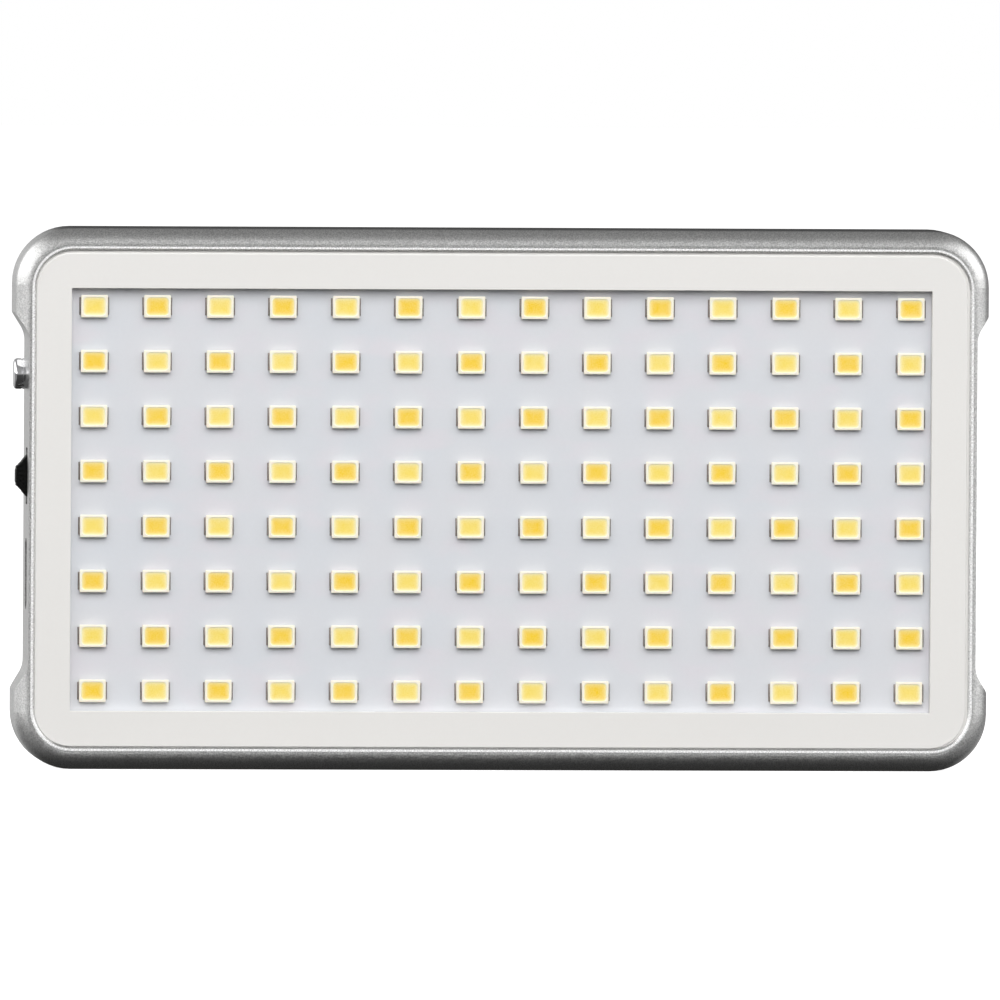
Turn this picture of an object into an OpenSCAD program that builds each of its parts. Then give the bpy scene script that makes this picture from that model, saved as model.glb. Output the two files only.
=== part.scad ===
// Pocket LED panel light: an aluminium frame holds a board of bare LEDs under a white bezel,
// with the battery and the control board behind it and the controls in a scoop on the left side.
// Each part is drawn as the panel lies on its back, face up, with the panel's middle at the
// origin. stand() then raises it onto its lower long edge, with the lit face along -Y.

/* [Body] */
// Width of the body
body_w = 128; // [126:1:134]
// Height of the body
body_h = 71; // [70:1:76]
// Thickness of the body, over the bright lip
body_t = 12; // [12:0.5:14]
// Radius of the four outer corners, seen from the front
corner_r = 7.5; // [7:0.5:9]
// Radius of the frame's front edge
front_round = 2.1; // [1.5:0.1:2.1]
// Radius of the frame's back edge
back_round = 2; // [1.2:0.1:2]
// Width of the cavity for the battery and the boards
cavity_w = 118; // [116:0.5:118]
// Height of the same cavity
cavity_h = 60.6; // [58:0.2:60.6]
// Radius of the cavity's corners, which leave metal for the screws
cavity_r = 8; // [7.5:0.5:9]

/* [Face] */
// Width of the pocket for the LED board and the bezel
pocket_w = 122.8; // [122.4:0.1:122.9]
// Height of the same pocket
pocket_h = 65.1; // [64.8:0.1:65.2]
// Radius of the pocket's corners
pocket_r = 4.9; // [4.5:0.1:5.3]
// Width of the bright lip round the pocket
lip_w = 0.5; // [0.4:0.05:0.5]
// Width and depth of the chamfer on the lip's inner edge
lip_chamfer = 0.25; // [0.1:0.05:0.25]
// Height of the lip above the frame's front
lip_rise = 0.12; // [0.05:0.01:0.2]
// Gap between the lip and the bezel
bezel_gap = 0.2; // [0.15:0.05:0.4]
// Width of the bezel's border
bezel_border = 4.65; // [4.5:0.05:4.8]
// Thickness of the bezel
bezel_t = 1.25; // [1.2:0.05:1.3]
// Depth of the bezel's face below the lip
bezel_sink = 0.35; // [0.2:0.05:0.4]
// Share of the gap that the bezel sits to the right of the pocket's middle
bezel_play_x = -0.7; // [-0.7:0.1:0.7]
// Share of the gap that the bezel sits above the pocket's middle
bezel_play_y = -0.65; // [-0.7:0.05:0.7]

/* [LEDs] */
// Number of LED columns
led_columns = 14; // [8:1:14]
// Number of LED rows
led_rows = 8; // [4:1:8]
// Distance between columns
pitch_x = 8.26; // [7:0.02:8.28]
// Distance between rows
pitch_y = 7.2; // [6:0.05:7.2]
// Length of one LED package
led_l = 3.5; // [3:0.1:3.6]
// Width of one LED package
led_w = 2.95; // [2.6:0.05:3]
// Height of one LED package
led_t = 0.7; // [0.6:0.05:0.8]

/* [Side scoops] */
// Depth of the left side's scoop, which holds the controls
left_depth = 1.8; // [1.5:0.05:1.8]
// Depth of the right side's scoop
right_depth = 1.6; // [1.2:0.05:1.8]
// Half of a scoop's length where it leaves the side
scoop_half = 24.7; // [24.7:0.1:26]
// How far the scoops' middle is below the panel's middle
scoop_drop = 0.45; // [0:0.05:0.8]
// Angle between a scoop's ramp and the side
ramp_angle = 33; // [28:1:45]
// Radius where the ramp runs into the scoop's floor
ramp_r = 3.5; // [2:0.5:4]

/* [Controls] */
// Height of the power button above the panel's middle
button_y = 16.2; // [15:0.1:16.2]
// Diameter of the power button
button_d = 4; // [3.5:0.1:4]
// How far the power button stands out of the scoop's floor
button_out = 1.8; // [1:0.05:1.8]
// Travel of the power button
button_travel = 0.35; // [0.25:0.05:0.35]
// Height of the jog lever above the panel's middle
jog_y = 2.8; // [2:0.1:3]
// How far the jog lever stands out of the scoop's floor
jog_out = 1.5; // [0.9:0.05:1.5]
// Length of the jog lever's base
jog_base = 5.4; // [4.8:0.1:5.4]
// Length of the jog lever's tip
jog_tip = 2.2; // [1.8:0.1:2.4]
// Height of the charging socket's middle above the panel's middle
usb_y = -10; // [-10.5:0.1:-9.5]

/* [Battery and thread] */
// Length of the battery cell
battery_l = 70; // [60:1:70]
// Height of the battery cell
battery_h = 52; // [46:1:52]
// Thickness of the battery cell
battery_t = 6; // [5:0.5:6]
// Inner radius of the tripod thread
thread_r = 2.55; // [2.5:0.01:2.6]
// Length of the tripod thread
thread_l = 7.6; // [6:0.1:7.6]

/* [Hidden] */
$fn = 64;
over = 1;               // how far a cutting shape runs past the surface that it cuts
eps = 0.02;             // clearance that keeps two fitted faces apart

// Levels through the thickness, from the back to the lit face
lip_z = body_t / 2;
deck_z = lip_z - lip_rise;
back_z = -body_t / 2;
cover_t = 1.3;
cover_z = back_z + cover_t;
bezel_z = lip_z - bezel_sink;
tape_t = 0.1;
board_t = 1;
board_z = bezel_z - bezel_t - tape_t;
ledge_z = board_z - board_t;
film_t = 0.15;

// Outlines of the plates
cover_gap = 0.15;
cover_w = cavity_w + 4.4;
cover_h = cavity_h + 4.6;
cover_r = 4.95;
bezel_w = pocket_w - 2 * bezel_gap;
bezel_h = pocket_h - 2 * bezel_gap;
bezel_r = pocket_r - bezel_gap;
bezel_middle = [bezel_play_x, bezel_play_y] * bezel_gap;
window_w = bezel_w - 2 * bezel_border;
window_h = bezel_h - 2 * bezel_border;
board_gap = 0.5;

// The four corner screws, used on both sides of the frame, and their pilot holes
corner_x = cavity_w / 2 - 1.1;
corner_y = cavity_h / 2 - 1;
small_pilot_r = 0.65;
cover_pilot_r = 0.8;
cover_hole_r = 1.1;
cover_head_r = 1.9;
pan_shank_r = 0.63;
board_hole_r = 0.9;
board_head_r = 1.4;

// LEDs
led_r = 0.12;
led_wall = 0.3;
phosphor_l = led_l - 2 * led_wall;
phosphor_w = led_w - 2 * led_wall;
phosphor_r = 0.5;
pocket_depth = 0.3;
phosphor_sink = 0.04;
foot_l = 0.22;
foot_w = 2.05;
foot_t = 0.28;

// Left wall and the controls in it
floor_x = -body_w / 2 + left_depth;
wall_x = -cavity_w / 2;
wall_run = wall_x - floor_x + 2 * over;
control_z = 0.5;
button_tip = floor_x - button_out;
button_gap = 0.05;
flange_r = 2.6;
flange_t = 0.6;
flange_front = wall_x + 0.1;
flange_back = flange_front + flange_t;
plunger_r = 0.8;
plunger_sink = 0.4;
switch_front = flange_back + 0.9;
jog_tip_x = floor_x - jog_out;
jog_pivot_x = wall_x + 1.4;
jog_slot_l = 7.4;
jog_slot_t = 3.2;
jog_pin_r = 0.5;
jog_press = 0.3;
hub_r = 1.4;
hub_t = 1.7;
cheek_t = 0.5;
carrier_w = 3.2;
carrier_gap = hub_t + 0.1;
carrier_t = carrier_gap + 2 * cheek_t;
carrier_back = jog_pivot_x + 2.6;

// Control board
pcb_t = 1;
pcb_z = -1.65;
pcb_left = wall_x + 1.4;
pcb_w = 38;
pcb_h = 56;
pcb_r = 6;
pcb_x = pcb_left + pcb_w / 2;
lug_x = [pcb_left + 11.6, pcb_left + 33.6];
lug_y = cavity_h / 2 - 3;
lug_half = 2.5;
lug_t = 3;
lug_reach = 5.5;

// Charging socket
usb_z = pcb_z + 1.63;
usb_l = 7.3;
usb_w = 8.94;
usb_t = 3.24;
usb_r = 1.5;
usb_wall = 0.3;
usb_front = floor_x + 0.5;
usb_slot = [3.6, 9.3, 1.7];

// Rear display
display_x = pcb_x - 0.1;
display_w = 26;
display_h = 14;
display_t = 1.5;
display_r = 0.4;
display_top = pcb_z - pcb_t;
gasket_t = display_top - display_t - cover_z;
view_w = 22.4;
view_h = 10.4;
glass_w = 30;
glass_h = 18;
glass_r = 1.5;
glass_gap = 0.1;
glass_sink = 0.05;
glass_seat = 0.8;

// Battery, the plugs and their leads
battery_x = cavity_w / 2 - 3 - battery_l / 2;
battery_y = 0.2;
battery_r = 1.8;
pad_t = 0.5;
battery_z = cover_z + pad_t;
cell_left = battery_x - battery_l / 2;
cell_board_z = battery_z + battery_t / 2;
cell_board_t = 0.8;
lead_r = 0.3;
battery_lead_y = 12;
battery_lead_gap = 0.9;
battery_plug_x = pcb_left + pcb_w;
plug_l = 2.4;
plug_t = 2.4;
battery_plug_w = 4.4;
header_top = 1.7;
led_slot_x = wall_x + 1;
led_lead_y = -19;
led_lead_gap = 1.7;
led_plug_x = pcb_left + 4;
led_plug_w = 5.8;
solder_r = 0.6;
solder_t = 0.15;
lead_rest_z = board_z + solder_t + lead_r + eps;

// Tripod insert
insert_r = 3.4;
insert_z = -0.4;
insert_sink = 0.15;
insert_depth = insert_sink + thread_l;
boss_half = 5.5;
boss_wall = 1.3;

// ---------- shared shapes ----------

module stand() {
    translate([0, 0, body_h / 2]) rotate([90, 0, 0]) children();
}

// Four copies, one in each quarter of the panel
module four() {
    for (a = [0, 1], b = [0, 1]) mirror([a, 0, 0]) mirror([0, b, 0]) children();
}

// Turns a shape that is drawn upright so that it runs along +X from a place
module along_x(x, y, z) {
    translate([x, y, z]) rotate([0, 90, 0]) children();
}

module rounded_rect(w, h, r) {
    square([w - 2 * r, h], center = true);
    square([w, h - 2 * r], center = true);
    for (x = [-1, 1], y = [-1, 1])
        translate([x * (w / 2 - r), y * (h / 2 - r)]) circle(r);
}

// A rounded plate between two levels
module plate(w, h, r, low, high) {
    translate([0, 0, low]) linear_extrude(high - low) rounded_rect(w, h, r);
}

// A block between two corners
module block(low, high) {
    translate(low) cube(high - low);
}

// What a rounding of radius r takes off a square corner
module corner_waste(r) {
    difference() {
        square(r + over);
        circle(r);
    }
}

// Half a section through the frame, with its front and back edges rounded
module edge_section(reach) {
    difference() {
        translate([0, back_z]) square([reach, deck_z - back_z]);
        translate([reach - front_round, deck_z - front_round]) corner_waste(front_round);
        translate([reach - back_round, back_z + back_round])
            mirror([0, 1]) corner_waste(back_round);
    }
}

// A solid disc whose far rim is rounded
module soft_disc(r, h, round) {
    rotate_extrude() difference() {
        square([r, h]);
        translate([r - round, h - round]) corner_waste(round);
    }
}

function unit(v) = v / norm(v);
function heading(p, i) = unit(p[min(i + 1, len(p) - 1)] - p[max(i - 1, 0)]);

// A thin wire: an eight-sided tube along a list of points
module wire(p, r) {
    sides = 8;
    last = len(p) - 1;
    ring = [for (i = [0 : last], k = [0 : sides - 1])
        let (d = heading(p, i), a = unit(cross(d, [0, 1, 0])), b = cross(d, a))
        p[i] + r * (cos(360 * k / sides) * a + sin(360 * k / sides) * b)];
    skin = [for (i = [0 : last - 1], k = [0 : sides - 1])
        let (n = (k + 1) % sides)
        [i * sides + k, (i + 1) * sides + k, (i + 1) * sides + n, i * sides + n]];
    near_end = [for (k = [0 : sides - 1]) k];
    far_end = [for (k = [sides - 1 : -1 : 0]) last * sides + k];
    polyhedron(points = ring, faces = concat(skin, [near_end, far_end]), convexity = 4);
}

// ---------- frame ----------

module outer_form() {
    side_run = body_h - 2 * corner_r;
    translate([-body_w / 2 + corner_r, 0, 0]) rotate([90, 0, 90])
        linear_extrude(body_w - 2 * corner_r) {
            edge_section(body_h / 2);
            mirror([1, 0]) edge_section(body_h / 2);
        }
    for (a = [0, 1]) mirror([a, 0, 0]) {
        translate([body_w / 2 - corner_r, side_run / 2, 0]) rotate([90, 0, 0])
            linear_extrude(side_run) edge_section(corner_r);
        for (b = [0, 1]) mirror([0, b, 0])
            translate([body_w / 2 - corner_r, side_run / 2, 0])
                rotate_extrude(angle = 90) edge_section(corner_r);
    }
}

// Outline that a scoop takes off the right side, ramps and blends included
module scoop_outline(depth) {
    bend = scoop_half - depth / tan(ramp_angle);
    tangent = ramp_r * tan(ramp_angle / 2);
    reach = scoop_half + over / tan(ramp_angle);
    difference() {
        polygon([[-depth, -bend], [-depth, bend], [over, reach], [over, -reach]]);
        for (b = [0, 1]) mirror([0, b]) difference() {
            polygon([
                [-depth, bend],
                [-depth, bend - tangent],
                [ramp_r - depth, bend - tangent],
                [tangent * sin(ramp_angle) - depth, bend + tangent * cos(ramp_angle)]
            ]);
            translate([ramp_r - depth, bend - tangent]) circle(ramp_r);
        }
    }
}

module scoops() {
    for (side = [[0, right_depth], [1, left_depth]]) mirror([side[0], 0, 0])
        translate([body_w / 2, -scoop_drop, back_z - over])
            linear_extrude(body_t + 2 * over) scoop_outline(side[1]);
}

module bright_lip() {
    translate([0, 0, deck_z - 1]) linear_extrude(lip_z - deck_z + 1) difference() {
        rounded_rect(pocket_w + 2 * lip_w, pocket_h + 2 * lip_w, pocket_r + lip_w);
        rounded_rect(pocket_w, pocket_h, pocket_r);
    }
}

// Sweeps a section, drawn outward and up from the pocket's wall, round the pocket
module round_pocket() {
    run_x = pocket_w - 2 * pocket_r;
    run_y = pocket_h - 2 * pocket_r;
    for (b = [0, 1]) mirror([0, b, 0])
        translate([-run_x / 2, pocket_h / 2, 0]) rotate([90, 0, 90])
            linear_extrude(run_x) children();
    for (a = [0, 1]) mirror([a, 0, 0]) {
        translate([pocket_w / 2, run_y / 2, 0]) rotate([90, 0, 0])
            linear_extrude(run_y) children();
        for (b = [0, 1]) mirror([0, b, 0])
            translate([run_x / 2, run_y / 2, 0])
                rotate_extrude(angle = 90) translate([pocket_r, 0]) children();
    }
}

// What the chamfer takes off the lip's inner edge
module chamfer_waste() {
    polygon([
        [-over, lip_z - lip_chamfer - over],
        [lip_chamfer + over, lip_z + over],
        [-over, lip_z + over]
    ]);
}

module wall_openings() {
    along_x(floor_x - over, button_y, control_z)
        cylinder(d = button_d + 2 * button_gap, h = wall_run);
    along_x(floor_x - over, jog_y, control_z)
        linear_extrude(wall_run) rounded_rect(jog_slot_t, jog_slot_l, 0.2);
    along_x(floor_x - over, usb_y, usb_z)
        linear_extrude(wall_run) rounded_rect(usb_slot[0], usb_slot[1], usb_slot[2]);
}

// Boss behind the tripod insert
module insert_boss() {
    block([-boss_half, -cavity_h / 2 - over, cover_z],
        [boss_half, -body_h / 2 + insert_depth + boss_wall, ledge_z]);
}

// Lugs that the control board is screwed to
module board_lugs() {
    for (x = lug_x, s = [0, 1]) mirror([0, s, 0])
        block([x - lug_half, cavity_h / 2 - lug_reach, pcb_z],
            [x + lug_half, cavity_h / 2 + over, pcb_z + lug_t]);
}

module housing() {
    board_pilot = 2.4;
    cover_pilot = 3;
    color([0.72, 0.72, 0.71]) stand() difference() {
        union() {
            difference() {
                outer_form();
                scoops();
                plate(cavity_w, cavity_h, cavity_r, back_z - over, lip_z + over);
                plate(pocket_w, pocket_h, pocket_r, ledge_z, lip_z + over);
                plate(cover_w + 2 * cover_gap, cover_h + 2 * cover_gap, cover_r + cover_gap,
                    back_z - over, cover_z);
            }
            bright_lip();
            insert_boss();
            board_lugs();
        }
        round_pocket() chamfer_waste();
        wall_openings();
        four() {
            translate([corner_x, corner_y, ledge_z - board_pilot])
                cylinder(r = small_pilot_r, h = board_pilot + over);
            translate([corner_x, corner_y, cover_z - over])
                cylinder(r = cover_pilot_r, h = cover_pilot + over);
        }
        for (x = lug_x, s = [-1, 1])
            translate([x, s * lug_y, pcb_z - over])
                cylinder(r = small_pilot_r, h = board_pilot + over);
        translate([0, -body_h / 2 - over, insert_z]) rotate([-90, 0, 0])
            cylinder(r = insert_r, h = insert_depth + over);
    }
}

// A countersunk screw, head up, its top at the origin
module flat_screw(r, head_r, l, socket_r, socket_t) {
    difference() {
        union() {
            translate([0, 0, -l]) cylinder(r = r, h = l);
            translate([0, 0, -(head_r - r)]) cylinder(r1 = r, r2 = head_r, h = head_r - r);
        }
        translate([0, 0, -socket_t]) cylinder(r = socket_r, h = over + socket_t, $fn = 6);
    }
}

// A low-headed screw, head up, its seat at the origin
module pan_screw(r, head_r, head_t, l) {
    socket_r = 0.5;
    difference() {
        union() {
            translate([0, 0, -l]) cylinder(r = r, h = l);
            cylinder(r = head_r, h = head_t);
        }
        translate([0, 0, head_t / 2]) cylinder(r = socket_r, h = over, $fn = 6);
    }
}

module rear_cover() {
    cone_tip = 1;
    color([0.7, 0.7, 0.69]) stand() difference() {
        plate(cover_w, cover_h, cover_r, back_z, cover_z);
        translate([display_x, 0, 0]) {
            plate(glass_w + 2 * glass_gap, glass_h + 2 * glass_gap, glass_r + glass_gap,
                back_z - over, back_z + glass_seat);
            plate(view_w, view_h, 2 * display_r, back_z - over, cover_z + over);
        }
        four() translate([corner_x, corner_y, back_z - over]) {
            cylinder(r = cover_hole_r, h = cover_t + 2 * over);
            cylinder(r1 = cover_head_r + over, r2 = cone_tip, h = cover_head_r + over - cone_tip);
        }
    }
}

module cover_screws() {
    shank_r = 0.78;
    head_r = 1.75;
    length = 4;
    sink = 0.05;
    color([0.35, 0.35, 0.36]) stand() four()
        translate([corner_x, corner_y, back_z + sink]) mirror([0, 0, 1])
            flat_screw(shank_r, head_r, length, 0.65, 0.7);
}

// ---------- lit face ----------

// Room behind the bezel for the screw heads and the soldered leads
module face_relief(low, high) {
    head_room = 0.35;
    lead_half = 3.2;
    lead_run = [-2.9, 1];
    four() translate([corner_x, corner_y, low])
        cylinder(r = board_head_r + head_room, h = high - low);
    block([led_slot_x + lead_run[0], led_lead_y - lead_half, low],
        [led_slot_x + lead_run[1], led_lead_y + lead_half, high]);
}

// A plate round the window, the bezel's or the tape's, inset from the bezel's outlines
module face_frame(inset, low, high) {
    translate(bezel_middle) difference() {
        plate(bezel_w - 2 * inset, bezel_h - 2 * inset, bezel_r - inset, low, high);
        translate([0, 0, low - over]) linear_extrude(high - low + 2 * over)
            square([window_w + 2 * inset, window_h + 2 * inset], center = true);
    }
}

module front_bezel() {
    skin_t = 0.5;
    back = bezel_z - bezel_t;
    color([0.9, 0.9, 0.89]) stand() difference() {
        face_frame(0, back, bezel_z);
        face_relief(back - over, bezel_z - skin_t);
    }
}

module bezel_tape() {
    color([0.2, 0.2, 0.2]) stand() difference() {
        face_frame(0.5, board_z, board_z + tape_t);
        face_relief(board_z - over, board_z + tape_t + over);
    }
}

module led_board() {
    color([0.86, 0.87, 0.88]) stand() difference() {
        plate(pocket_w - 2 * board_gap, pocket_h - 2 * board_gap, pocket_r - board_gap,
            ledge_z, board_z);
        four() translate([corner_x, corner_y, ledge_z - over])
            cylinder(r = board_hole_r, h = board_t + 2 * over);
        translate([led_slot_x, led_lead_y, ledge_z - over])
            linear_extrude(board_t + 2 * over) rounded_rect(1.2, 5.6, 0.55);
    }
}

module board_screws() {
    color([0.3, 0.3, 0.31]) stand() four()
        translate([corner_x, corner_y, board_z]) pan_screw(pan_shank_r, board_head_r, 0.5, 3);
}

// Places every LED, or one tone of the two that alternate like a chessboard
module at_leds(tone = -1) {
    for (row = [0 : led_rows - 1], column = [0 : led_columns - 1])
        if (tone < 0 || (row + column) % 2 == tone)
            translate([(column - (led_columns - 1) / 2) * pitch_x,
                ((led_rows - 1) / 2 - row) * pitch_y, board_z]) children();
}

module led_packages() {
    color([0.96, 0.95, 0.9]) stand() at_leds() difference() {
        plate(led_l, led_w, led_r, 0, led_t);
        plate(phosphor_l, phosphor_w, phosphor_r, led_t - pocket_depth, led_t + over);
    }
}

module phosphor() {
    plate(phosphor_l - 2 * eps, phosphor_w - 2 * eps, phosphor_r - eps,
        led_t - pocket_depth, led_t - phosphor_sink);
}

module phosphor_warm() {
    color([0.95, 0.8, 0.3]) stand() at_leds(1) phosphor();
}

module phosphor_cool() {
    color([0.97, 0.88, 0.5]) stand() at_leds(0) phosphor();
}

module led_contacts() {
    color([0.45, 0.45, 0.46]) stand() at_leds() for (s = [0, 1]) mirror([s, 0, 0])
        block([led_l / 2, -foot_w / 2, 0], [led_l / 2 + foot_l, foot_w / 2, foot_t]);
}

// Each lead lies on its solder joint, passes the board's slot and bends down to the plug
module led_leads() {
    color([0.9, 0.9, 0.88]) stand() for (k = [-1 : 1])
        translate([led_slot_x, led_lead_y + k * led_lead_gap, 0]) wire([
            [-1.6, 0, lead_rest_z], [-0.6, 0, lead_rest_z], [-0.1, 0, board_z + 0.2],
            [0, 0, board_z - 0.6], [0, 0, ledge_z - 0.8], [0.3, 0, 1], [1.2, 0, 0.3],
            [2.6, 0, 0], [led_plug_x - led_slot_x, 0, 0]], lead_r);
}

module solder_joints() {
    color([0.7, 0.7, 0.72]) stand() for (k = [-1 : 1])
        translate([led_slot_x - 1.7, led_lead_y + k * led_lead_gap, board_z])
            soft_disc(solder_r, solder_t, 0.1);
}

// A plug's block, from its left face, grown on all sides but the left by a gap
module plug_block(x, y, w, gap) {
    block([x - (gap > 0 ? over : 0), y - w / 2 - gap, -plug_t / 2 - gap],
        [x + plug_l + gap, y + w / 2 + gap, plug_t / 2 + gap]);
}

module led_plug() {
    color([0.92, 0.9, 0.84]) stand() plug_block(led_plug_x, led_lead_y, led_plug_w, 0);
}

module led_header() {
    half = led_plug_w / 2 + 0.6;
    color([0.88, 0.86, 0.8]) stand() difference() {
        block([led_plug_x + 1, led_lead_y - half, pcb_z],
            [led_plug_x + 5, led_lead_y + half, header_top]);
        plug_block(led_plug_x, led_lead_y, led_plug_w, eps);
    }
}

module insulating_film() {
    film_h = 52;
    film_r = 5;
    color([0.85, 0.55, 0.15]) stand()
        plate(cavity_w - 5, film_h, film_r, ledge_z - film_t, ledge_z);
}

// ---------- battery ----------

module battery_cell() {
    color([0.75, 0.76, 0.78]) stand() translate([battery_x, battery_y, battery_z])
        rotate([90, 0, 0]) translate([0, 0, -battery_h / 2]) linear_extrude(battery_h)
            translate([0, battery_t / 2]) rounded_rect(battery_l, battery_t, battery_r);
}

module battery_pad() {
    color([0.15, 0.15, 0.16]) stand() translate([battery_x, battery_y, 0])
        plate(battery_l - 10, battery_h - 12, 2, cover_z, cover_z + pad_t);
}

module battery_board() {
    half_t = cell_board_t / 2;
    color([0.1, 0.35, 0.2]) stand()
        block([cell_left - 4, -15, cell_board_z - half_t], [cell_left, 16, cell_board_z + half_t]);
}

module battery_lead(y) {
    lead_z = cell_board_z + cell_board_t / 2 + lead_r + eps;
    stand() wire([[battery_plug_x - 0.4, y, 0], [battery_plug_x + 0.2, y, 0.05],
        [cell_left - 3.4, y, lead_z + 0.2], [cell_left - 2.6, y, lead_z],
        [cell_left - 1.4, y, lead_z]], lead_r);
}

module battery_lead_red() {
    color([0.75, 0.08, 0.06]) battery_lead(battery_lead_y + battery_lead_gap);
}

module battery_lead_black() {
    color([0.05, 0.05, 0.05]) battery_lead(battery_lead_y - battery_lead_gap);
}

// The plug faces left, so its block is the LED plug's in mirror image
module battery_plug_block(gap) {
    mirror([1, 0, 0]) plug_block(0.4 - battery_plug_x, battery_lead_y, battery_plug_w, gap);
}

module battery_plug() {
    color([0.92, 0.9, 0.84]) stand() battery_plug_block(0);
}

module battery_header() {
    half = battery_plug_w / 2 + 0.6;
    color([0.88, 0.86, 0.8]) stand() difference() {
        block([battery_plug_x - 5.4, battery_lead_y - half, pcb_z],
            [battery_plug_x - 1.4, battery_lead_y + half, header_top]);
        battery_plug_block(eps);
    }
}

// ---------- control board ----------

module control_board() {
    color([0.08, 0.3, 0.2]) stand() difference() {
        translate([pcb_x, 0, 0]) plate(pcb_w, pcb_h, pcb_r, pcb_z - pcb_t, pcb_z);
        for (x = lug_x, s = [-1, 1])
            translate([x, s * lug_y, pcb_z - pcb_t - over])
                cylinder(r = board_hole_r, h = pcb_t + 2 * over);
    }
}

module control_screws() {
    color([0.3, 0.3, 0.31]) stand() for (x = lug_x, s = [-1, 1])
        translate([x, s * lug_y, pcb_z - pcb_t]) mirror([0, 0, 1])
            pan_screw(pan_shank_r, board_head_r - 0.1, 0.8, 3);
}

// A flat package soldered to the control board
module chip(x, y, l, w, t) {
    block([x - l / 2, y - w / 2, pcb_z], [x + l / 2, y + w / 2, pcb_z + t]);
}

module controller_chip() {
    color([0.1, 0.1, 0.1]) stand() chip(pcb_x - 2, 9, 7, 7, 0.9);
}

module power_chips() {
    color([0.12, 0.12, 0.12]) stand() {
        chip(pcb_x + 4, -9, 4, 4, 0.85);
        chip(pcb_x - 3, -8, 3, 3, 0.85);
        chip(pcb_x + 13, -2, 5, 4, 1);
    }
}

module inductors() {
    color([0.22, 0.22, 0.23]) stand() for (x = [2, 9.5])
        translate([pcb_x + x, -17, 0]) difference() {
            plate(6, 6, 1, pcb_z, pcb_z + 3);
            translate([0, 0, pcb_z + 2.8]) cylinder(r = 1.8, h = over);
        }
}

module capacitors() {
    color([0.6, 0.48, 0.3]) stand() {
        for (k = [0 : 4]) chip(pcb_x + 3 + 2.6 * k, 2, 1.6, 0.8, 0.8);
        for (k = [0 : 3]) chip(pcb_x + 6, 6 + 2 * k, 1.6, 0.8, 0.8);
        for (k = [0 : 2]) chip(pcb_x - 8, -3 - 2 * k, 2, 1.25, 1.2);
    }
}

// ---------- display ----------

module display_module() {
    color([0.08, 0.08, 0.1]) stand() translate([display_x, 0, 0])
        plate(display_w, display_h, display_r, display_top - display_t, display_top);
}

module display_flex() {
    flex_l = 4.5;
    flex_half = 4;
    flex_t = 0.12;
    left = display_x + display_w / 2;
    color([0.75, 0.5, 0.15]) stand()
        block([left, -flex_half, display_top - flex_t], [left + flex_l, flex_half, display_top]);
}

module display_gasket() {
    color([0.1, 0.1, 0.1]) stand() translate([display_x, 0, cover_z]) linear_extrude(gasket_t)
        difference() {
            rounded_rect(display_w, display_h, display_r);
            rounded_rect(view_w, view_h, display_r);
        }
}

module display_window() {
    color([0.03, 0.03, 0.04]) stand() translate([display_x, 0, 0])
        plate(glass_w, glass_h, glass_r, back_z + glass_sink, back_z + glass_seat);
}

// ---------- charging socket ----------

module usb_shell() {
    color([0.75, 0.75, 0.76]) stand() along_x(usb_front, usb_y, usb_z) linear_extrude(usb_l)
        difference() {
            rounded_rect(usb_t, usb_w, usb_r);
            rounded_rect(usb_t - 2 * usb_wall, usb_w - 2 * usb_wall, usb_r - usb_wall);
        }
}

// The tongue and the block that closes the shell behind it
module usb_insert() {
    inset = usb_wall + eps;
    block_l = 1.6;
    tongue_sink = 0.6;
    color([0.06, 0.06, 0.06]) stand() along_x(usb_front, usb_y, usb_z) {
        translate([0, 0, usb_l - block_l]) linear_extrude(block_l)
            rounded_rect(usb_t - 2 * inset, usb_w - 2 * inset, usb_r - inset);
        translate([0, 0, tongue_sink])
            linear_extrude(usb_l - block_l) rounded_rect(0.7, 6.6, 0.2);
    }
}

// ---------- power button ----------

module power_button() {
    color([0.8, 0.8, 0.82]) stand() {
        along_x(flange_back, button_y, control_z) mirror([0, 0, 1])
            soft_disc(button_d / 2, flange_back - button_tip, 0.45);
        along_x(flange_front, button_y, control_z) cylinder(r = flange_r, h = flange_t);
    }
}

module button_plunger() {
    color([0.15, 0.15, 0.15]) stand() along_x(flange_back, button_y, control_z)
        cylinder(r = plunger_r, h = switch_front - flange_back + plunger_sink);
}

module button_switch() {
    switch_l = 3.6;
    switch_w = 4.7;
    well = plunger_sink + button_travel + 0.15;
    color([0.2, 0.2, 0.2]) stand() difference() {
        block([switch_front, button_y - switch_w / 2, pcb_z],
            [switch_front + switch_l, button_y + switch_w / 2, control_z + 1.7]);
        along_x(switch_front - over, button_y, control_z)
            cylinder(r = plunger_r + 0.05, h = over + well);
    }
}

// ---------- jog lever ----------

// The lever's outline, its pivot at the origin and its tip along -X
module jog_outline() {
    tip = jog_pivot_x - jog_tip_x;
    base = jog_pivot_x - floor_x;
    knee = base + (tip - base) * 0.4;
    knee_half = jog_tip / 2 + 0.65;
    half = jog_base / 2;
    polygon([
        [-tip, jog_tip / 2], [-knee, knee_half], [-base, half], [-base + 0.8, half],
        [-base + 1.9, 1], [-base + 1.9, -1], [-base + 0.8, -half], [-base, -half],
        [-knee, -knee_half], [-tip, -jog_tip / 2]
    ]);
}

module jog_lever() {
    key_t = jog_slot_t - 0.4;
    arm_l = jog_pivot_x - floor_x - 1.8;
    color([0.05, 0.05, 0.05]) stand() translate([jog_pivot_x, jog_y, control_z]) {
        translate([0, 0, -key_t / 2]) linear_extrude(key_t) jog_outline();
        difference() {
            translate([0, 0, -hub_t / 2]) linear_extrude(hub_t) {
                circle(hub_r);
                translate([-arm_l, -1]) square([arm_l, 2]);
            }
            cylinder(r = jog_pin_r + 0.05, h = hub_t + 2 * over, center = true);
        }
    }
}

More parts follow.
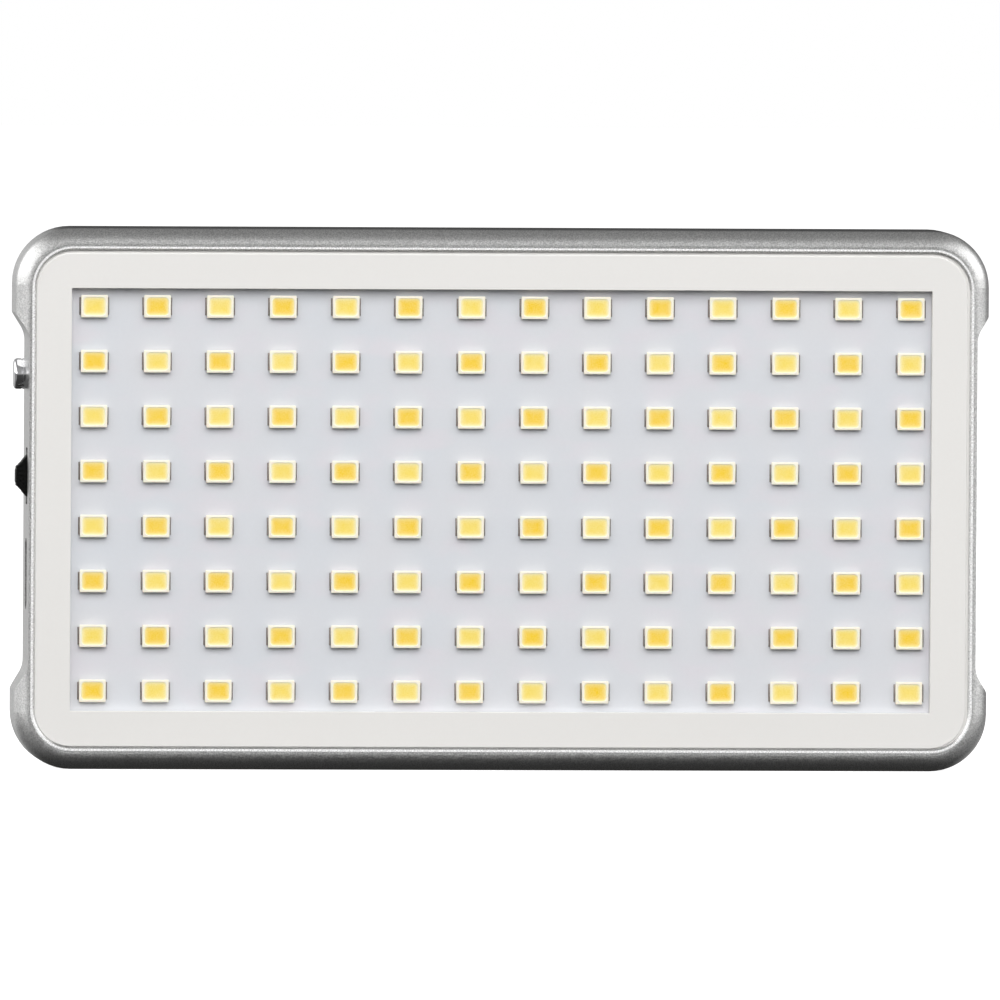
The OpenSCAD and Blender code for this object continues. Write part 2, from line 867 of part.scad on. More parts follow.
module jog_pin() {
    color([0.7, 0.7, 0.72]) stand() translate([jog_pivot_x, jog_y, control_z])
        cylinder(r = jog_pin_r, h = carrier_t, center = true);
}

// A fork round the lever's hub, open to the left
module jog_carrier() {
    front = jog_pivot_x - 1.1;
    web_t = 0.7;
    color([0.3, 0.3, 0.32]) stand() translate([0, jog_y, control_z]) difference() {
        block([front, -carrier_w / 2, -carrier_t / 2], [carrier_back, carrier_w / 2, carrier_t / 2]);
        block([front - over, -carrier_w, -carrier_gap / 2],
            [carrier_back - web_t, carrier_w, carrier_gap / 2]);
        translate([jog_pivot_x, 0, 0])
            cylinder(r = jog_pin_r, h = carrier_t + over, center = true);
    }
}

module jog_switch_case() {
    front = jog_pivot_x - 0.7;
    room = 0.1;
    side_wall = 1.6;
    back_wall = 1.5;
    top_wall = 0.7;
    half = carrier_w / 2;
    color([0.13, 0.13, 0.13]) stand() translate([0, jog_y, 0]) difference() {
        block([front, -half - side_wall, pcb_z],
            [carrier_back + jog_press + back_wall, half + side_wall,
            control_z + carrier_t / 2 + top_wall]);
        block([front - over, -half - room, control_z - carrier_t / 2 - room],
            [carrier_back + jog_press + room, half + room, control_z + carrier_t / 2 + room]);
    }
}

// ---------- tripod insert ----------

module tripod_insert() {
    color([0.62, 0.6, 0.56]) stand()
        translate([0, -body_h / 2 + insert_sink, insert_z]) rotate([-90, 0, 0]) difference() {
            cylinder(r = insert_r, h = thread_l);
            translate([0, 0, -over]) cylinder(r = thread_r, h = thread_l + 2 * over);
        }
}

housing();
rear_cover();
front_bezel();
bezel_tape();
led_board();
led_packages();
led_contacts();
phosphor_warm();
phosphor_cool();
board_screws();
insulating_film();
battery_cell();
battery_pad();
battery_board();
battery_lead_red();
battery_lead_black();
battery_plug();
battery_header();
control_board();
control_screws();
controller_chip();
power_chips();
inductors();
capacitors();
led_header();
led_plug();
led_leads();
solder_joints();
display_module();
display_flex();
display_gasket();
display_window();
usb_shell();
usb_insert();
button_switch();
button_plunger();
power_button();
jog_switch_case();
jog_carrier();
jog_pin();
jog_lever();
tripod_insert();
cover_screws();
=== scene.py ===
"""Looks of the pocket LED panel light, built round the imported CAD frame."""
import math
import random

import bmesh
import bpy
from mathutils import Matrix, Vector


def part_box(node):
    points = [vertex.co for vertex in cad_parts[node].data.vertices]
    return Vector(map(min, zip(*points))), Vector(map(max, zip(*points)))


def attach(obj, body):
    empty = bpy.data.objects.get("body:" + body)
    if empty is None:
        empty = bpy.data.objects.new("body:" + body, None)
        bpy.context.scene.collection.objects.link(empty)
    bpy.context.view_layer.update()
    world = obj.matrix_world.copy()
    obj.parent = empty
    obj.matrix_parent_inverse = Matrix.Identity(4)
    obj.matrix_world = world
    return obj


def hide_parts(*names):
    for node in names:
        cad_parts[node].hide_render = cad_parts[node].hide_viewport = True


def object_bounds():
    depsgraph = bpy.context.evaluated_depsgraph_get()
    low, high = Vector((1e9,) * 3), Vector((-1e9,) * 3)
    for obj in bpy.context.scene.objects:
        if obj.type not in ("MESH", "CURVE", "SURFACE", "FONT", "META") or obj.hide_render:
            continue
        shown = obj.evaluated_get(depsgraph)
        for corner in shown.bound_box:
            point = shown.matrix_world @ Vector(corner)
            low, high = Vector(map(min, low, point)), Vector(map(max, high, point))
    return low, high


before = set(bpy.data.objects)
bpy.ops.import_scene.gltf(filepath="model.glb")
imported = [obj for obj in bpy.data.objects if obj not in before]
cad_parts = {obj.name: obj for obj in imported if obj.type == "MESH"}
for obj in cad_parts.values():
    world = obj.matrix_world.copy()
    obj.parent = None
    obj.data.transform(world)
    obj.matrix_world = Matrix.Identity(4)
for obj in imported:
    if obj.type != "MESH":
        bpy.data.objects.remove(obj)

MM = 0.001
cad_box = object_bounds()
CENTRE = (cad_box[0] + cad_box[1]) / 2
random.seed(7)


# ---------- node materials ----------

BEZEL_WHITE = (0.80, 0.787, 0.765)
# painted highlight for the bezel's outer rolled edge
BEZEL_EDGE_HIGHLIGHT = (0.83, 0.82, 0.80)
BOARD_WHITE = (0.693, 0.70, 0.729)
UPWARD_SHADE = (0.93, 0.995)            # height of the normal where the painted shade on the upward face begins, and is full
LIP_BLEND = 0.03 * MM             # half the depth over which the polished lip and its painted highlight begin
LIP_SHINE = 0.25                  # what is left of the metallic share on it; the rest is a pale painted highlight


def shade(colour, *factors):
    """A colour times one number, or times one number for each channel."""
    return tuple(c * f for c, f in zip(colour, factors if len(factors) > 1 else factors * 3))


class Tree:
    """A node tree, with short calls for the nodes that the materials and the world share."""

    def __init__(self, tree):
        self.tree = tree

    def add(self, kind, **values):
        node = self.tree.nodes.new(kind)
        for key, value in values.items():
            setattr(node, key, value)
        return node

    def link(self, source, socket):
        self.tree.links.new(source, socket)

    def put(self, value, socket):
        """Links a socket, or sets a number or a colour."""
        if isinstance(value, bpy.types.NodeSocket):
            self.link(value, socket)
        else:
            socket.default_value = (*value, 1) if isinstance(value, tuple) else value

    def axes(self, place):
        node = self.add("ShaderNodeSeparateXYZ")
        self.link(place, node.inputs["Vector"])
        return (node.outputs[axis] for axis in "XYZ")

    def math(self, operation, *values):
        node = self.add("ShaderNodeMath", operation=operation)
        for value, socket in zip(values, node.inputs):
            self.put(value, socket)
        return node.outputs["Value"]

    def remap(self, source, low, high, start=0.3, end=0.7, **values):
        node = self.add("ShaderNodeMapRange", **values)
        for key, value in zip(("Value", "From Min", "From Max", "To Min", "To Max"),
                              (source, start, end, low, high)):
            self.put(value, node.inputs[key])
        return node.outputs["Result"]


class Nodes(Tree):
    """A material's tree round its one shader."""

    def __init__(self, name):
        self.material = bpy.data.materials.new(name)
        self.material.use_nodes = True
        super().__init__(self.material.node_tree)
        self.shader = self.tree.nodes["Principled BSDF"]
        self.place = self.add("ShaderNodeTexCoord").outputs["Object"]

    def set(self, **values):
        for key, value in values.items():
            key = key.replace("_", " ").title().replace("Ior", "IOR")
            self.shader.inputs[key].default_value = value

    def noise(self, scale, detail=2.0, stretch=(1, 1, 1), roughness=0.5):
        """Noise whose scale is in features per metre."""
        mapping = self.add("ShaderNodeMapping")
        mapping.inputs["Scale"].default_value = stretch
        self.link(self.place, mapping.inputs["Vector"])
        node = self.add("ShaderNodeTexNoise")
        for key, value in (("Scale", scale), ("Detail", detail), ("Roughness", roughness)):
            node.inputs[key].default_value = value
        self.link(mapping.outputs["Vector"], node.inputs["Vector"])
        return node.outputs["Fac"]

    def painted(self, layer):
        """A value that the mesh carries, from 0 to 1."""
        return self.add("ShaderNodeAttribute", attribute_name=layer).outputs["Fac"]

    def mix(self, factor, first, second):
        """A colour between two colours or colour sockets."""
        node = self.add("ShaderNodeMix", data_type="RGBA")
        for value, key in ((first, "A"), (second, "B"), (factor, "Factor")):
            self.put(value, node.inputs[key])
        return node.outputs["Result"]

    def colour(self, socket):
        self.link(socket, self.shader.inputs["Base Color"])

    def rough(self, socket):
        self.link(socket, self.shader.inputs["Roughness"])

    def bump(self, height, distance, strength=1.0):
        node = self.add("ShaderNodeBump")
        node.inputs["Distance"].default_value = distance
        node.inputs["Strength"].default_value = strength
        self.link(height, node.inputs["Height"])
        self.link(node.outputs["Normal"], self.shader.inputs["Normal"])


def plain_material(name, colour, second, scale, rough=(0.4, 0.55), metallic=0.0, bump=0.0,
                   stretch=(1, 1, 1), **values):
    """A surface whose colour, gloss and relief all vary with one noise."""
    n = Nodes(name)
    grain = n.noise(scale, 3.0, stretch)
    n.colour(n.mix(n.remap(grain, 0, 1), colour, second))
    n.rough(n.remap(grain, *rough))
    n.set(metallic=metallic, **values)
    if bump:
        n.bump(grain, bump)
    return n.material


def blasted_aluminium(name, lip_plane=None):
    """Bead-blasted and clear-anodised metal. Past lip_plane, in metres along Y, it is polished and
    carries a painted highlight: pale and mostly non-metallic.

    The face that looks straight up carries painted shade, so that the soft boxes don't bleach it.
    """
    n = Nodes(name)
    grain = n.noise(5400, 2)
    patches = n.noise(900, 4, roughness=0.75)
    body = n.mix(n.remap(grain, 0, 1, 0.36, 0.64), (0.56, 0.56, 0.555), (0.82, 0.82, 0.81))
    body = n.mix(n.remap(patches, 0, 0.35, 0.4, 0.7), body, (0.50, 0.50, 0.50))
    _, _, upward = n.axes(n.add("ShaderNodeNewGeometry").outputs["Normal"])
    # painted shade: the face that looks straight up is mixed towards dark grey
    body = n.mix(n.remap(upward, 0, 0.8, *UPWARD_SHADE), body, (0.30, 0.30, 0.30))
    rough = n.math("ADD", n.remap(grain, 0.28, 0.38), n.remap(patches, 0, 0.08))
    n.set(metallic=1.0)
    relief = grain
    if lip_plane is not None:
        _, back, _ = n.axes(n.place)
        lip = n.remap(back, 1, 0, lip_plane - LIP_BLEND, lip_plane + LIP_BLEND)
        # painted highlight: the lip is painted near-white and mostly non-metallic so it shows
        # bright; its lower roughness and lost grain are polish
        body = n.mix(lip, body, (0.97, 0.97, 0.965))
        n.link(n.math("SUBTRACT", 1.0, n.math("MULTIPLY", lip, 1 - LIP_SHINE)),
               n.shader.inputs["Metallic"])
        rough = n.math("SUBTRACT", rough, n.math("MULTIPLY", lip, 0.1))
        relief = n.math("MULTIPLY", grain, n.math("SUBTRACT", 1.0, lip))
    n.colour(body)
    n.rough(rough)
    n.bump(relief, 0.00004, 0.6)
    return n.material


def white_bezel():
    """Satin paint, with a painted highlight: a little paler on its outer rolled edge."""
    n = Nodes("bezel_white")
    grain = n.noise(2600, 3)
    wide = n.noise(45, 2)
    face = n.mix(n.remap(wide, 0, 1), BEZEL_WHITE, shade(BEZEL_WHITE, 0.985))
    face = n.mix(n.remap(grain, 0, 0.25), face, shade(BEZEL_WHITE, 0.96))
    n.colour(n.mix(n.painted("edge"), face, BEZEL_EDGE_HIGHLIGHT))
    n.rough(n.remap(grain, 0.42, 0.52))
    n.set(specular_ior_level=0.35)
    n.bump(grain, 0.000004, 0.5)
    return n.material


def led_board_white():
    """White solder mask. The copper and the aluminium below tint it in faint patches."""
    n = Nodes("board_mask")
    grain = n.noise(1900, 3)
    face = n.mix(n.remap(n.noise(75, 2), 0, 1), BOARD_WHITE, shade(BOARD_WHITE, 0.96, 0.985, 1.0))
    face = n.mix(n.remap(n.noise(150, 2, (1, 1, 1.8)), 0, 1, 0.5, 0.7), face,
                 shade(BOARD_WHITE, 1.01, 0.985, 1.0))
    n.colour(n.mix(n.remap(grain, 0, 0.12), face, shade(BOARD_WHITE, 0.9)))
    n.rough(n.remap(grain, 0.34, 0.46))
    n.bump(grain, 0.000008, 0.4)
    n.set(specular_ior_level=0.35)
    return n.material


def led_resin():
    """Warm white resin, with painted shade low on its side walls, darkest at the board."""
    n = Nodes("led_resin")
    grain = n.noise(3000, 2)
    face = n.mix(n.remap(grain, 0, 1), (0.94, 0.885, 0.735), (0.96, 0.91, 0.78))
    # painted shade: the side walls darken towards the board
    n.colour(n.mix(n.painted("wall"), face, (0.40, 0.37, 0.33)))
    n.rough(n.remap(grain, 0.30, 0.42))
    n.set(specular_ior_level=0.35, subsurface_weight=0.1, subsurface_scale=0.0003)
    return n.material


def phosphor(name, core, rim):
    """Silicone full of phosphor: paler at the rim, where the white body shines through."""
    n = Nodes(name)
    grain = n.noise(6500, 2)
    cloud = n.noise(900, 2)
    middle = n.mix(n.math("MULTIPLY", n.painted("tone"), 0.6), core, shade(core, 0.99, 0.96, 0.8))
    between = tuple(0.5 * (a + b) for a, b in zip(core, rim))
    middle = n.mix(n.remap(cloud, 0, 0.28), middle, between)
    middle = n.mix(n.remap(grain, 0, 0.12), middle, rim)
    n.colour(n.mix(n.painted("depth"), rim, middle))
    n.rough(n.remap(grain, 0.22, 0.34))
    n.set(specular_ior_level=0.35)
    n.bump(grain, 0.000006, 0.4)
    return n.material


def tinned_contact():
    """Dull tin, darker in its pores."""
    n = Nodes("led_contact")
    grain = n.noise(7000, 3)
    n.colour(n.mix(n.remap(grain, 0, 1), (0.25, 0.22, 0.195), (0.44, 0.39, 0.35)))
    n.rough(n.remap(grain, 0.30, 0.5))
    n.set(metallic=0.9)
    n.bump(grain, 0.00001, 0.5)
    return n.material


def chrome_plate():
    """Chrome with the faintest haze."""
    n = Nodes("chrome_plate")
    wear = n.noise(1500, 3)
    n.colour(n.mix(n.remap(wear, 0, 1), (0.82, 0.82, 0.84), (0.90, 0.90, 0.91)))
    n.rough(n.remap(wear, 0.05, 0.11))
    n.set(metallic=1.0)
    return n.material


def circuit_board():
    """Green solder mask with paler tracks and darker substrate."""
    n = Nodes("circuit_board")
    tracks = n.add("ShaderNodeTexVoronoi", feature="DISTANCE_TO_EDGE", distance="CHEBYCHEV")
    tracks.inputs["Scale"].default_value = 420
    n.link(n.place, tracks.inputs["Vector"])
    line = n.math("LESS_THAN", tracks.outputs["Distance"], 0.08)
    grain = n.noise(1600, 3)
    mask = n.mix(n.remap(grain, 0, 1), (0.012, 0.10, 0.05), (0.02, 0.14, 0.07))
    n.colour(n.mix(line, mask, (0.05, 0.26, 0.13)))
    n.rough(n.remap(grain, 0.28, 0.4))
    n.bump(line, 0.00002, 0.5)
    return n.material


def smooth_black(name, base, rough, coat=0.0):
    """Black glass or lacquer, with haze in its gloss."""
    n = Nodes(name)
    haze = n.noise(700, 4)
    n.colour(n.mix(n.remap(haze, 0, 1), base, shade(base, 1.5)))
    n.rough(n.remap(haze, *rough))
    n.set(coat_weight=coat)
    return n.material


# ---------- geometry helpers ----------

def arc_corner(x, z, r, start, steps):
    """A quarter turn round (x, z), from the angle start in degrees."""
    return [Vector((x + r * math.cos(math.radians(start + 90 * k / steps)),
                    z + r * math.sin(math.radians(start + 90 * k / steps))))
            for k in range(steps + 1)]


def rounded_loop(half_w, half_h, r, steps=6):
    """A closed outline round the origin, counter-clockwise from the right, in (x, z)."""
    loop = []
    for k, (sx, sz) in enumerate(((1, 1), (-1, 1), (-1, -1), (1, -1))):
        loop += arc_corner(sx * (half_w - r), sz * (half_h - r), r, 90 * k, steps)
    return loop


def bridge(bm, first, second):
    """Quads between two closed rings that have the same number of points."""
    n = len(first)
    return [bm.faces.new((first[k], first[(k + 1) % n], second[(k + 1) % n], second[k]))
            for k in range(n)]


def ring(bm, loop, y, centre=(0, 0)):
    """A ring of points at depth y, which grows towards the back."""
    return [bm.verts.new((centre[0] + p.x, y, centre[1] + p.y)) for p in loop]


def make_object(name, bm, material, smooth_angle=32):
    """Turns a bmesh into an object that is smooth except over edges sharper than smooth_angle."""
    bmesh.ops.recalc_face_normals(bm, faces=bm.faces)
    mesh = bpy.data.meshes.new(name)
    bm.to_mesh(mesh)
    bm.free()
    mesh.materials.append(material)
    for face in mesh.polygons:
        face.use_smooth = True
    mesh.set_sharp_from_angle(angle=math.radians(smooth_angle))
    piece = bpy.data.objects.new(name, mesh)
    bpy.context.scene.collection.objects.link(piece)
    return piece


def finish_piece(piece, body, slot, *nodes):
    """Says which body the piece rides on and hides the CAD nodes it replaces. slot is not used."""
    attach(piece, body)
    if nodes:
        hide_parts(*nodes)
    return piece


def soften(node, width):
    """Joins a CAD node's flat triangles and breaks its sharp edges."""
    flat = node.modifiers.new("flat", "DECIMATE")
    flat.decimate_type = "DISSOLVE"
    flat.angle_limit = math.radians(0.6)
    soften_piece(node, width)


def soften_piece(piece, width):
    """Breaks the piece's sharp edges."""
    edge = piece.modifiers.new("edge", "BEVEL")
    edge.width = width
    edge.segments = 2
    edge.limit_method = "ANGLE"
    edge.angle_limit = math.radians(35)
    edge.harden_normals = True


# ---------- camera, light and floor ----------

PHOTO_SPAN = 131.25 * MM          # width that the picture shows at the body's middle
CAMERA_DISTANCE = 4.0
CAMERA_AZIMUTH = math.radians(-4.5)
CAMERA_ELEVATION = math.radians(1.9)
CAMERA_ROLL = math.radians(0.35)
CAMERA_TARGET = CENTRE + Vector((0.10, 0, -0.17)) * MM
SENSOR_WIDTH = 36                 # mm
# Radiance by height, from straight down (0) to straight up (1)
SKY_HEIGHT = ((0.0, 0.04), (0.40, 0.06), (0.48, 0.27), (0.53, 0.43), (0.66, 0.35), (1.0, 0.28))
# Share of it left, from beside the light (0) to straight behind it (1)
SKY_BEHIND = ((0.0, 1.0), (0.55, 1.0), (0.82, 0.30), (1.0, 0.02))
SOFT_BOX = 2.05                   # radiance of the two soft boxes
BOX_LOWER_EDGE = (0.0, 0.14)      # their lower edge, as height over distance from the middle
BOX_UPPER_EDGE = (0.65, 1.6)
BOX_INNER_EDGE = (0.12, 0.34)     # distance from the middle
BOX_BACK_EDGE = (0.5, 0.8)        # how far the left one reaches behind the light
RIGHT_BOX_SHORTER = 0.6           # the right one ends this much nearer the front
SIDE_WALL = 0.60                  # radiance of the pale wall behind the light, to the left
LOW_WALL = 0.50                   # of the low one to the right
LOW_CORNER = 0.28                 # and of what lies below, to either side
FLOOR_DROP = 0.03 * MM            # under the light, so that the two faces never coincide


def make_camera():
    data = bpy.data.cameras.new("camera")
    data.sensor_width = SENSOR_WIDTH
    data.lens = data.sensor_width * CAMERA_DISTANCE / PHOTO_SPAN
    data.clip_end = 20
    camera = bpy.data.objects.new("camera", data)
    bpy.context.scene.collection.objects.link(camera)
    bpy.context.scene.camera = camera
    back = Vector((math.sin(CAMERA_AZIMUTH) * math.cos(CAMERA_ELEVATION),
                   -math.cos(CAMERA_AZIMUTH) * math.cos(CAMERA_ELEVATION),
                   math.sin(CAMERA_ELEVATION)))
    turn = (-back).to_track_quat("-Z", "Y").to_matrix().to_4x4()
    camera.matrix_world = (Matrix.Translation(CAMERA_TARGET + back * CAMERA_DISTANCE) @ turn
                           @ Matrix.Rotation(CAMERA_ROLL, 4, "Z"))


def area_light(name, place, size, power):
    """A soft light that points at the middle of the body and never shows in a reflection."""
    data = bpy.data.lights.new(name, "AREA")
    data.shape = "RECTANGLE"
    data.size, data.size_y = size
    data.energy = power
    light = bpy.data.objects.new(name, data)
    bpy.context.scene.collection.objects.link(light)
    place = Vector(place)
    light.visible_camera = False
    light.visible_glossy = False
    light.matrix_world = (Matrix.Translation(place)
                          @ (CENTRE - place).to_track_quat("-Z", "Y").to_matrix().to_4x4())


def make_world():
    """White to the eye. What it reflects is brightest level with the light and dark below.

    Two broad soft boxes, up to the left and the right, light the rounded corners. Straight
    behind the light it is dark, which draws a thin dark line round the frame. The two walls
    and the low corners are there for the views from the side and from behind.
    """
    world = bpy.data.worlds.new("studio")
    bpy.context.scene.world = world
    world.use_nodes = True
    w = Tree(world.node_tree)
    w.tree.nodes.clear()
    x, y, z = w.axes(w.add("ShaderNodeTexCoord").outputs["Generated"])

    def ease(source, start, end, low=0.0, high=1.0):
        return w.remap(source, low, high, start, end, interpolation_type="SMOOTHSTEP")

    def ramp(source, low, high, stops):
        node = w.add("ShaderNodeValToRGB")
        node.color_ramp.interpolation = "EASE"
        while len(node.color_ramp.elements) < len(stops):
            node.color_ramp.elements.new(0.5)
        for element, (position, value) in zip(node.color_ramp.elements, stops):
            element.position = position
            element.color = (value, value, value, 1)
        w.link(w.remap(source, 0.0, 1.0, low, high), node.inputs["Fac"])
        return node.outputs["Color"]

    def product(first, *others):
        for other in others:
            first = w.math("MULTIPLY", first, other)
        return first

    def background(colour):
        node = w.add("ShaderNodeBackground")
        w.put(colour, node.inputs["Color"])
        return node.outputs["Background"]

    aside = w.math("ABSOLUTE", x)
    sky = product(ramp(z, -1, 1, SKY_HEIGHT), ramp(y, 0, 1, SKY_BEHIND))
    left_wall = product(ease(x, -0.12, 0.04, SIDE_WALL, 0.0), ease(z, -0.6, -0.15),
                        ease(z, 0.25, 0.6, 1.0, 0.5), ease(y, 0.1, 0.5))
    low_wall = product(ease(x, 0.25, 0.5, 0.0, LOW_WALL), ease(y, 0.3, 0.55),
                       ease(z, -0.75, -0.45), ease(z, -0.2, -0.02, 1.0, 0.0))
    low_corner = product(ease(aside, 0.2, 0.55, 0.0, LOW_CORNER), ease(z, -0.95, -0.5))
    for patch in (left_wall, low_wall, low_corner):
        sky = w.math("MAXIMUM", sky, patch)
    slope = w.math("DIVIDE", z, w.math("MAXIMUM", aside, 0.03))
    reach = w.math("ADD", y, product(w.math("GREATER_THAN", x, 0.0), RIGHT_BOX_SHORTER))
    path = w.add("ShaderNodeLightPath")
    box = product(ease(slope, *BOX_LOWER_EDGE), ease(slope, *BOX_UPPER_EDGE, 1.0, 0.0),
                  ease(aside, *BOX_INNER_EDGE), ease(reach, *BOX_BACK_EDGE, 1.0, 0.0),
                  path.outputs["Is Glossy Ray"], SOFT_BOX)
    mix = w.add("ShaderNodeMixShader")
    w.link(path.outputs["Is Camera Ray"], mix.inputs["Fac"])
    w.link(background(w.math("ADD", sky, box)), mix.inputs[1])
    w.link(background((1, 1, 1)), mix.inputs[2])
    w.link(mix.outputs["Shader"], w.add("ShaderNodeOutputWorld").inputs["Surface"])


def make_floor():
    bm = bmesh.new()
    bmesh.ops.create_grid(bm, x_segments=2, y_segments=2, size=4)
    n = Nodes("floor_white")
    n.colour(n.mix(n.noise(3, 2), (0.58, 0.58, 0.58), (0.62, 0.62, 0.62)))
    n.set(roughness=0.9, specular_ior_level=0.0)
    n.set(emission_color=(1, 1, 1, 1), emission_strength=0.92)
    floor = make_object("floor", bm, n.material)
    floor.location.z = -FLOOR_DROP
    floor.visible_glossy = False
    floor.visible_diffuse = False


bpy.context.scene.view_settings.view_transform = "Standard"
make_camera()
make_world()
make_floor()
area_light("overhead", (0.0, -1.15, 0.85), (0.8, 1.3), 13.2)
for side, sign in (("left", -1), ("right", 1)):
    area_light("corner_" + side, (sign * 1.25, -1.15, 1.2), (1.5, 1.5), 13.0)
for side, sign in (("left", -1), ("right", 1)):
    area_light("back_" + side, (sign * 1.5, 1.2, 1.0), (1.3, 1.3), 4)

# ---------- shared measures, read from the frame or those of the CAD ----------

package_low, package_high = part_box("led_packages")
BOARD_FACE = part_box("led_board")[0].y        # the lit side faces -Y, so the face is the lowest Y
LED_FACE = package_low.y
COLUMNS, ROWS = 14, 8
LED_L = 3.5 * MM
LED_W = 2.95 * MM
LED_WALL = 0.27 * MM
LED_PITCH = Vector(((package_high.x - package_low.x - LED_L) / (COLUMNS - 1),
                    (package_high.z - package_low.z - LED_W) / (ROWS - 1)))
LED_FIRST = Vector((package_low.x + LED_L / 2, package_high.z - LED_W / 2))
BEZEL_BORDER = 4.65 * MM
POCKET = (122.8 * MM, 65.1 * MM, 4.9 * MM)   # width, height and corner of the bezel's pocket
FOOT_PLAY = 0.015 * MM
FOOT_DEPTH = 0.14 * MM            # from the bezel's face to the thin foot that fills the pocket
LIP_PLANE = cad_box[0].y + 0.05 * MM         # in front of it the frame's lip is polished and carries a painted highlight
QUARTER = [math.radians(22.5 * k) for k in range(5)]   # a rolled edge, from its side to its face
THREAD = (2.56 * MM, 3.12 * MM, 1.27 * MM)   # tripod thread: inner radius, outer radius, pitch


def led_places():
    """(column, row, middle of the LED) for each LED; row 0 is the top row."""
    for row in range(ROWS):
        for column in range(COLUMNS):
            yield column, row, (LED_FIRST.x + column * LED_PITCH.x,
                                LED_FIRST.y - row * LED_PITCH.y)


# ---------- the LEDs ----------

def led_bodies(material):
    """White packages: rounded box, softened rim and a pocket with leaning walls."""
    bm = bmesh.new()
    wall = bm.verts.layers.float.new("wall")
    half_l, half_w = LED_L / 2, LED_W / 2
    soft = 0.05 * MM
    profile = (  # inset from the package's side, and Y
        (0.04 * MM, BOARD_FACE), (0.0, LED_FACE + soft), (soft * 0.3, LED_FACE + soft * 0.3),
        (soft, LED_FACE), (LED_WALL, LED_FACE), (LED_WALL + 0.03 * MM, LED_FACE + 0.03 * MM),
        (LED_WALL + 0.12 * MM, LED_FACE + 0.26 * MM),
    )
    for _, _, centre in led_places():
        rings = []
        for inset, y in profile:
            r = 0.12 * MM if inset < 0.2 * MM else 0.5 * MM
            loop = rounded_loop(half_l - inset, half_w - inset, r)
            rings.append(ring(bm, loop, y, centre))
        # the ring at the board carries the full painted shade of the side walls
        for v in rings[0]:
            v[wall] = 1.0
        for first, second in zip(rings, rings[1:]):
            bridge(bm, first, second)
        bm.faces.new(rings[0])
        bm.faces.new(rings[-1])
    piece = make_object("led_bodies", bm, material)
    return finish_piece(piece, "light", "led_white", "led_packages")


def phosphor_fills(name, tone, material, slot, node):
    """Domed silicone in every pocket of one tone, as rings from the rim to the middle."""
    bm = bmesh.new()
    depth = bm.verts.layers.float.new("depth")
    shade = bm.verts.layers.float.new("tone")
    half_l, half_w = (0.5 * side - LED_WALL - 0.035 * MM for side in (LED_L, LED_W))
    rings_of = (  # inset and depth behind the LED's face, in millimetres, and the painted depth
        (0.0, 0.045, 0.05), (0.13, 0.07, 0.38), (0.26, 0.08, 0.62),
        (0.40, 0.085, 0.80), (0.62, 0.09, 0.94), (0.90, 0.095, 1.0),
    )
    for column, row, centre in led_places():
        if (row + column) % 2 != tone:
            continue
        own = random.random()
        rings = []
        for inset, y, value in rings_of:
            inset *= MM
            r = max(0.5 * MM - inset, 0.12 * MM)
            loop = rounded_loop(half_l - inset, half_w - inset, r)
            points = ring(bm, loop, LED_FACE + y * MM, centre)
            for v in points:
                v[depth], v[shade] = value, own
            rings.append(points)
        for first, second in zip(rings, rings[1:]):
            bridge(bm, first, second)
        bm.faces.new(rings[-1])
    piece = make_object(name, bm, material, 60)
    return finish_piece(piece, "light", slot, node)


def led_feet(material):
    """A tinned foot at each end of every LED, with its solder fillet."""
    bm = bmesh.new()
    half = 1.15 * MM
    # The fillet's section: distance out from the LED and height over the board, in millimetres
    section = ((0.0, 0.34), (0.06, 0.32), (0.12, 0.20), (0.17, 0.09), (0.22, 0.0))
    for _, _, (x, z) in led_places():
        for side in (-1, 1):
            edge = x + side * LED_L / 2
            rows = []
            for end in (-1, -0.9, 0.9, 1):
                drop = 0.75 if abs(end) == 1 else 1.0
                rows.append([bm.verts.new((edge + side * u * MM, BOARD_FACE - t * MM * drop,
                                           z + end * half)) for u, t in section])
            for first, second in zip(rows, rows[1:]):
                for k in range(len(section) - 1):
                    bm.faces.new((first[k], first[k + 1], second[k + 1], second[k]))
            for end_row in (rows[0], rows[-1]):
                foot = bm.verts.new((edge, BOARD_FACE, end_row[0].co.z))
                bm.faces.new([foot, *end_row])
    piece = make_object("led_feet", bm, material, 50)
    return finish_piece(piece, "light", "contact_metal", "led_contacts")


# ---------- controls ----------

def lathe(name, section, axis_point, material, steps=64):
    """Turns (distance along +X, radius) points round a line through axis_point."""
    bm = bmesh.new()
    rings = []
    for x, r in section:
        rings.append([bm.verts.new((x, axis_point.y + r * math.cos(2 * math.pi * k / steps),
                                    axis_point.z + r * math.sin(2 * math.pi * k / steps)))
                      for k in range(steps)])
    for first, second in zip(rings, rings[1:]):
        bridge(bm, first, second)
    bm.faces.new(rings[0])
    bm.faces.new(rings[-1])
    return make_object(name, bm, material)


def chrome_button(material):
    """Chrome cap with a rolled rim, a shallow dish and a fine groove near its foot."""
    low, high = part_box("power_button")
    middle = (low + high) / 2
    tip, flange_back = low.x, high.x
    r = 2.0 * MM
    roll = 0.42 * MM
    section = [(tip + 0.10 * MM, 0.02 * MM), (tip + 0.09 * MM, 0.7 * MM),
               (tip + 0.03 * MM, 1.25 * MM), (tip, r - roll)]
    section += [(tip + roll * (1 - math.cos(a)), r - roll * (1 - math.sin(a)))
                for a in (math.radians(15 * k) for k in range(1, 7))]
    groove = tip + 1.0 * MM
    section += [(groove, r), (groove + 0.05 * MM, r - 0.06 * MM),
                (groove + 0.14 * MM, r - 0.06 * MM), (groove + 0.19 * MM, r)]
    flange = flange_back - 0.6 * MM
    section += [(flange, r), (flange, 2.6 * MM), (flange_back, 2.6 * MM),
                (flange_back, 0.02 * MM)]
    piece = lathe("power_button_cap", section, middle, material)
    return finish_piece(piece, "power_key", "chrome", "power_button")


